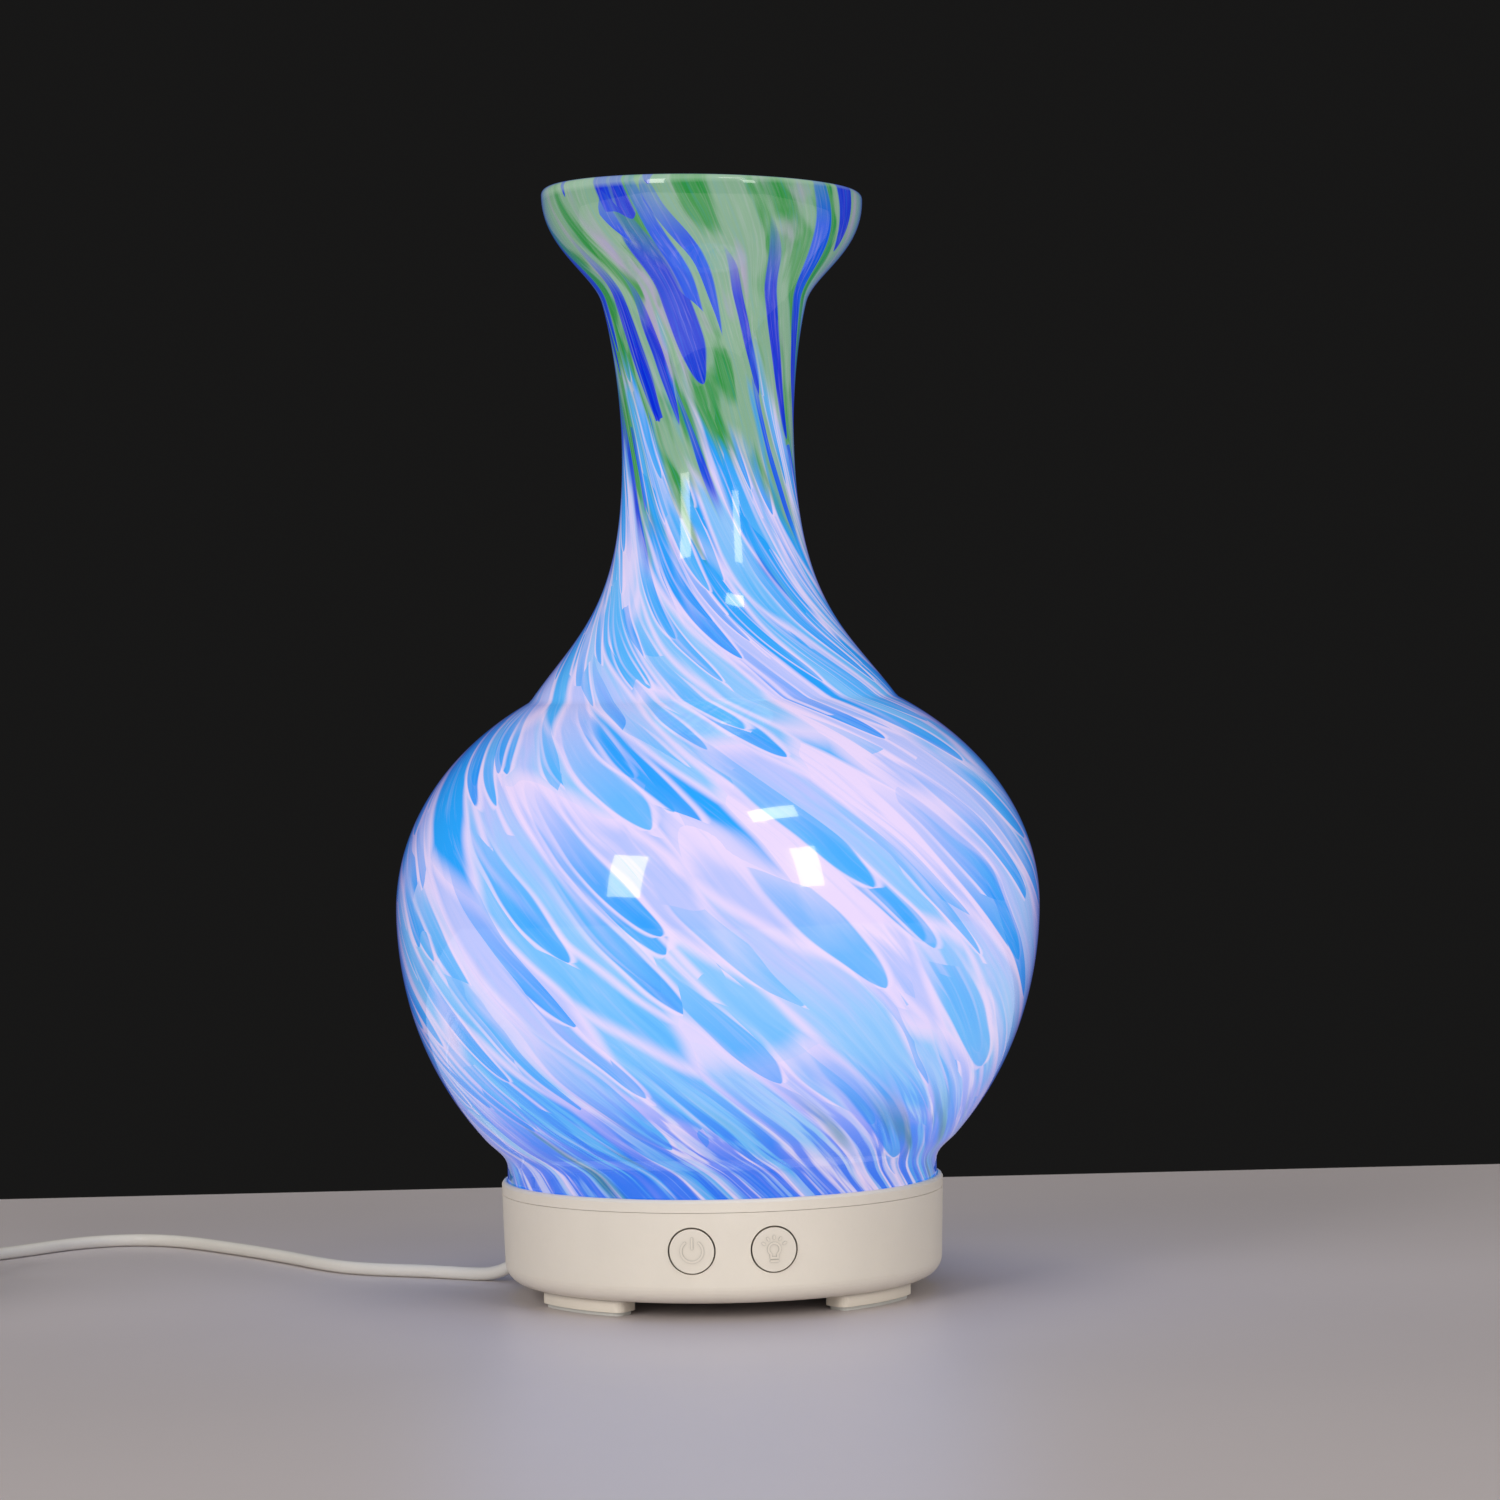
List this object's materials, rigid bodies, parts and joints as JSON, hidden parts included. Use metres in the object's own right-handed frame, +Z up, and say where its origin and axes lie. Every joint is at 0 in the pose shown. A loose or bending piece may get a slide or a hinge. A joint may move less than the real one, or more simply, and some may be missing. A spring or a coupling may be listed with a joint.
{
  "type": "essential oil diffuser",
  "caption": "Ultrasonic essential oil diffuser with a lit glass vase cover on a round white base with two push buttons, short feet and a power lead.",
  "frame": {"origin": "under the middle of the base, on the surface that it stands on", "axes": "+Z up through the vase's mouth, -Y the front with the two buttons, +X to the right seen from the front"},
  "size_m": [0.2957, 0.182, 0.2455],
  "materials": {
    "tinted_glass": "glossy, milky, streaked",
    "soft_silicone": "matt",
    "housing_plastic": "fine satin",
    "cover_plastic": "translucent satin",
    "button_plastic": "fine satin",
    "steel": "zinc plated",
    "dark_plastic": "moulded",
    "circuit_board": "solder mask",
    "white_board": "solder mask",
    "chip_black": "moulded",
    "ferrite": "sintered",
    "capacitor_sleeve": "shrink sleeve",
    "aluminium": "extruded",
    "socket_nylon": "moulded nylon",
    "contact_metal": "nickel plated",
    "piezo_ceramic": "coated",
    "led_package": "moulded",
    "wire_red": "insulation",
    "wire_blue": "insulation",
    "wire_orange": "insulation",
    "cord_pvc": "satin",
    "tie_black": "satin",
    "adapter_plastic": "fine satin"
  },
  "bodies": {
    "base": {"seat_ring": "soft_silicone", "upper_housing": "housing_plastic", "lower_case": "housing_plastic", "foot_pads": "soft_silicone", "case_screws": "steel", "mist_switch": "dark_plastic", "light_switch": "dark_plastic", "button_board": "circuit_board", "main_board": "circuit_board", "control_chip": "chip_black", "inductor": "ferrite", "capacitor": "capacitor_sleeve", "transistor": "chip_black", "heat_sink": "aluminium", "wire_sockets": "socket_nylon", "board_screws": "steel", "dc_jack": "dark_plastic", "dc_jack_pin": "contact_metal", "piezo_disc": "piezo_ceramic", "piezo_seal": "soft_silicone", "piezo_clamp": "aluminium", "piezo_screws": "steel", "fan_frame": "dark_plastic", "fan_screws": "steel", "fan_duct": "cover_plastic", "light_board": "white_board", "light_emitters": "led_package", "light_board_screws": "steel", "fan_wires": "wire_red", "piezo_wires": "wire_red", "light_wires": "wire_blue", "button_wires": "wire_orange", "jack_wires": "wire_red"},
    "vase": {"glass_vase": "tinted_glass"},
    "cover": {"inner_cover": "cover_plastic"},
    "mist_key": {"mist_button": "button_plastic", "mist_plunger": "dark_plastic"},
    "light_key": {"light_button": "button_plastic", "light_plunger": "dark_plastic"},
    "fan_wheel": {"fan_rotor": "dark_plastic"},
    "power_lead": {"plug_body": "cord_pvc", "plug_barrel": "contact_metal", "cord_lead": "cord_pvc", "cord_coil": "cord_pvc", "cord_tail": "cord_pvc", "cable_tie": "tie_black", "adapter_front": "adapter_plastic", "adapter_back": "adapter_plastic", "adapter_pins": "contact_metal", "adapter_relief": "cord_pvc"}
  },
  "joints": [
    {"name": "vase_lift", "type": "slide", "parent": "base", "child": "vase", "axis": [0, 0, 1], "range_m": [0, 0.1]},
    {"name": "cover_lift", "type": "slide", "parent": "base", "child": "cover", "axis": [0, 0, 1], "range_m": [0, 0.04]},
    {"name": "mist_button_press", "type": "slide", "parent": "base", "child": "mist_key", "axis": [0, 1, 0], "range_m": [0, 0.0006], "stiffness_N_per_m": 1500, "springref_m": -0.0004},
    {"name": "light_button_press", "type": "slide", "parent": "base", "child": "light_key", "axis": [0, 1, 0], "range_m": [0, 0.0006], "stiffness_N_per_m": 1500, "springref_m": -0.0004},
    {"name": "fan_spin", "type": "hinge", "parent": "base", "child": "fan_wheel", "pos_m": [0.003, 0.025, 0.0125], "axis": [0, 0, 1], "continuous": true},
    {"name": "plug_pull", "type": "slide", "parent": "base", "child": "power_lead", "axis": [-0.8829, 0.4695, 0], "range_m": [0, 0.012]}
  ]
}
